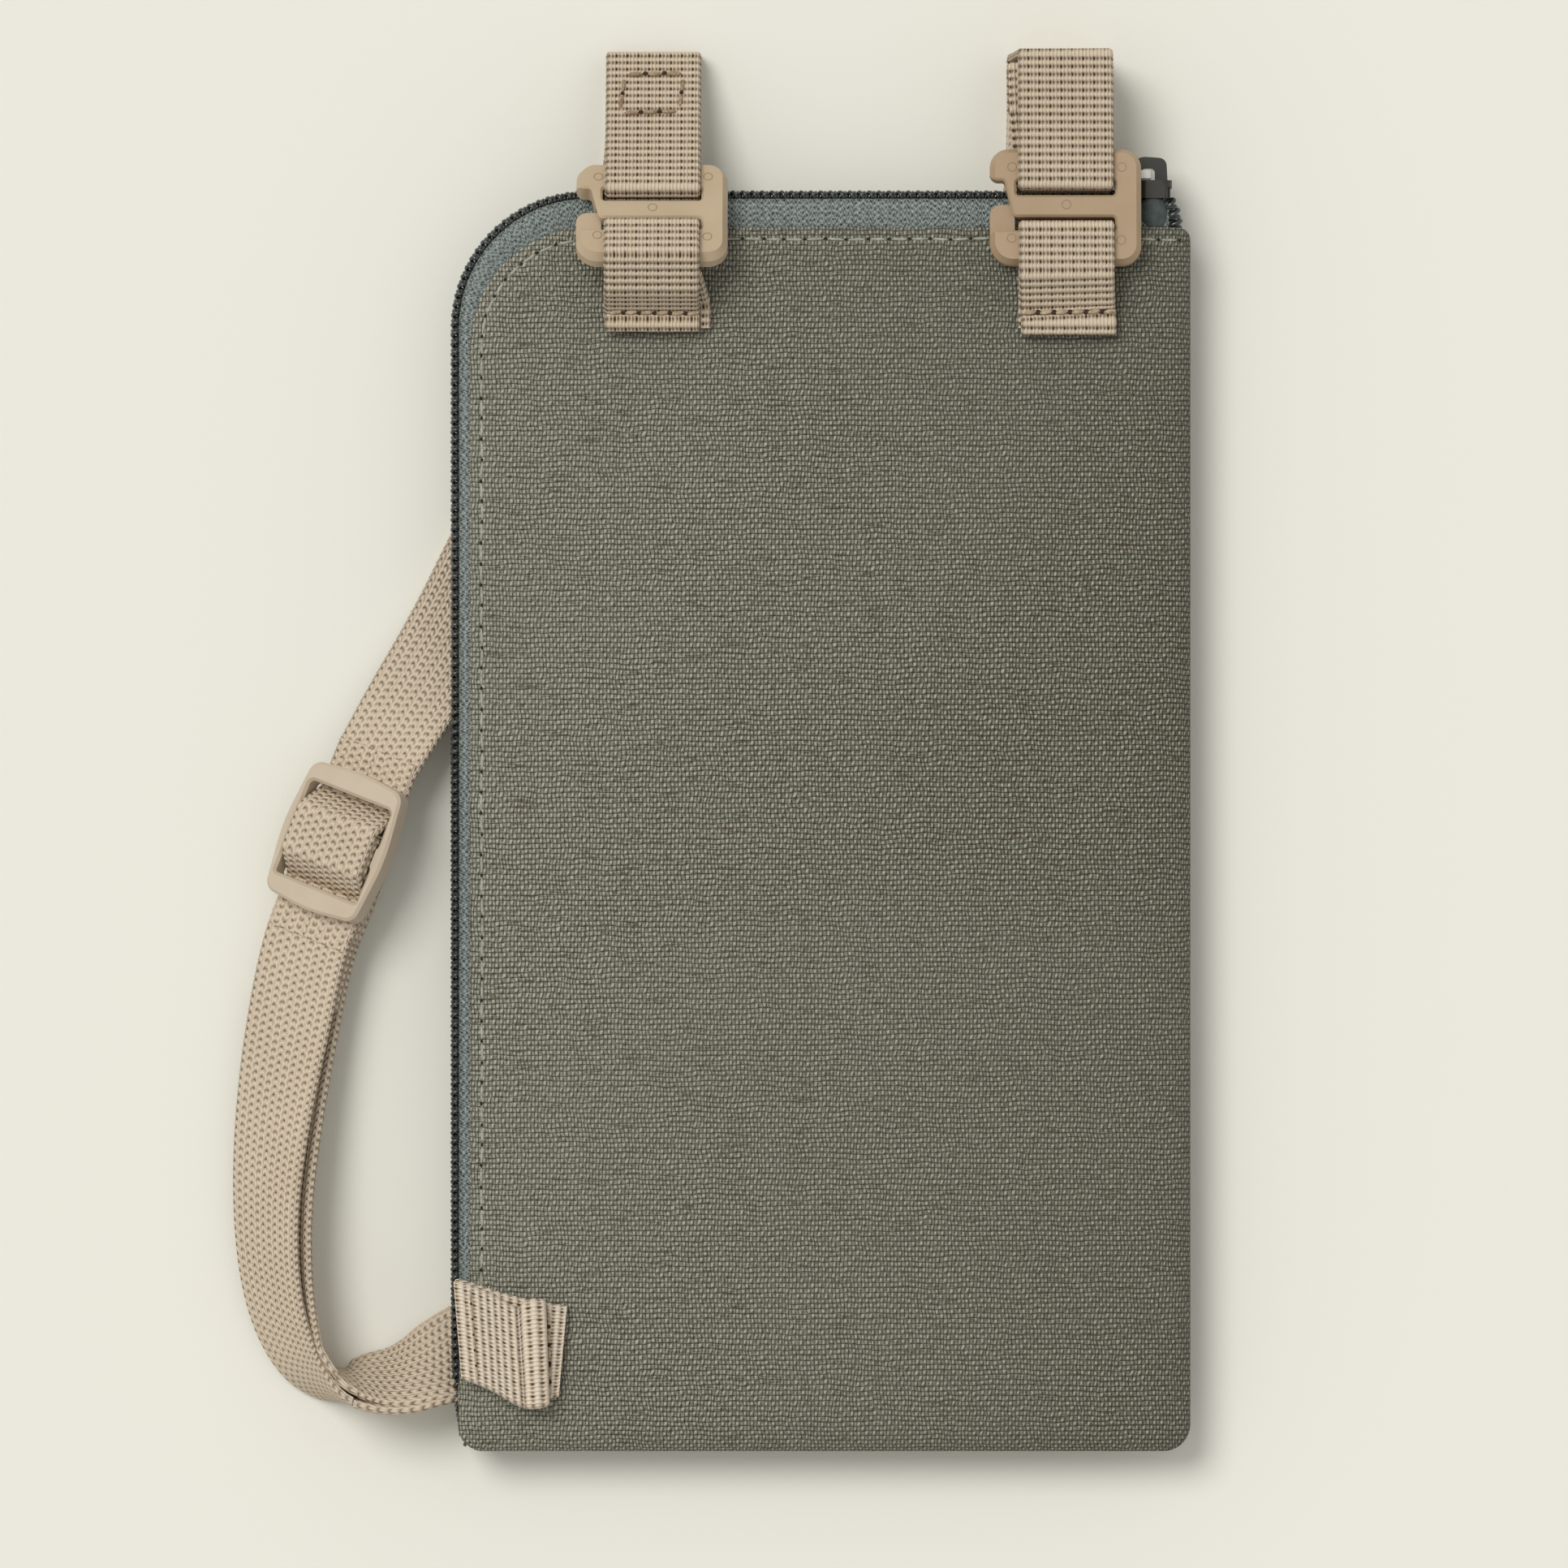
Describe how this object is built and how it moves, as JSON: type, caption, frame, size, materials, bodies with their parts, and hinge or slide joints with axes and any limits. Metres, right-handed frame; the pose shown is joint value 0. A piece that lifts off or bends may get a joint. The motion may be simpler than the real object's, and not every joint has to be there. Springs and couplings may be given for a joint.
{
  "type": "neck pouch wallet",
  "caption": "Flat canvas neck pouch wallet with an L-shaped zip, two plastic webbing hooks and a long adjustable webbing strap, lying on its back with the strap looped under it.",
  "frame": {"origin": "point of the table under the middle of the pouch, on the flat underside of the strap that passes beneath it", "axes": "+X to the right across the pouch, +Y up the pouch towards the hooks, +Z out of its front face"},
  "size_m": [0.1531, 0.2232, 0.0257],
  "materials": {
    "canvas": "matte, plain weave with slubs",
    "lining": "matte, fine weave",
    "webbing": "matte, ribbed",
    "zip_tape": "matte, fine weave",
    "zip_coil": "satin",
    "hook_plastic": "satin",
    "slider_plastic": "satin",
    "zip_metal": "satin"
  },
  "bodies": {
    "pouch": {"front_panel": "canvas", "back_panel": "canvas", "front_lining": "lining", "back_lining": "lining", "card_pocket": "lining", "seam_binding": "lining", "zip_tape_front": "zip_tape", "zip_tape_back": "zip_tape", "zip_coil_front": "zip_coil", "zip_coil_back": "zip_coil", "left_hook_loop": "webbing", "right_hook_loop": "webbing", "strap_single_run": "webbing", "strap_outer_run": "webbing", "strap_return_run": "webbing", "strap_sewn_end": "webbing"},
    "left_hook": {"left_hook": "hook_plastic", "strap_left_end": "webbing"},
    "right_hook": {"right_hook": "hook_plastic", "strap_right_end": "webbing"},
    "zip_slider": {"zip_slider": "zip_metal"},
    "zip_pull": {"zip_pull": "zip_metal"},
    "strap_slider": {"strap_slider": "slider_plastic", "strap_slider_pass": "webbing", "strap_tail": "webbing"},
    "zip_end_tab": {"zip_end_tab": "webbing"}
  },
  "joints": [
    {"name": "zip_slide", "type": "slide", "parent": "pouch", "child": "zip_slider", "axis": [-1, 0, 0], "range_m": [0, 0.05], "deforming": ["zip_coil_front", "zip_coil_back"]},
    {"name": "zip_pull_swing", "type": "hinge", "parent": "zip_slider", "child": "zip_pull", "pos_m": [0.05225, 0.10288, 0.009], "axis": [0, 0, -1], "range_deg": [0, 100]},
    {"name": "left_hook_swing", "type": "hinge", "parent": "pouch", "child": "left_hook", "pos_m": [-0.0267, 0.0818, 0.0145], "axis": [1, 0, 0], "range_deg": [0, 45], "deforming": ["left_hook_loop", "strap_single_run"]},
    {"name": "right_hook_swing", "type": "hinge", "parent": "pouch", "child": "right_hook", "pos_m": [0.0389, 0.0818, 0.0145], "axis": [1, 0, 0], "range_deg": [0, 45], "deforming": ["right_hook_loop", "strap_outer_run", "strap_return_run"]},
    {"name": "strap_slide", "type": "slide", "parent": "pouch", "child": "strap_slider", "axis": [0.3638, 0.9315, 0], "range_m": [-0.01, 0.01], "deforming": ["strap_single_run", "strap_outer_run", "strap_return_run", "strap_sewn_end"]},
    {"name": "tab_lift", "type": "hinge", "parent": "pouch", "child": "zip_end_tab", "pos_m": [-0.05622, -0.08116, 0.0141], "axis": [0.1516, -0.9884, 0], "range_deg": [0, 70]}
  ]
}
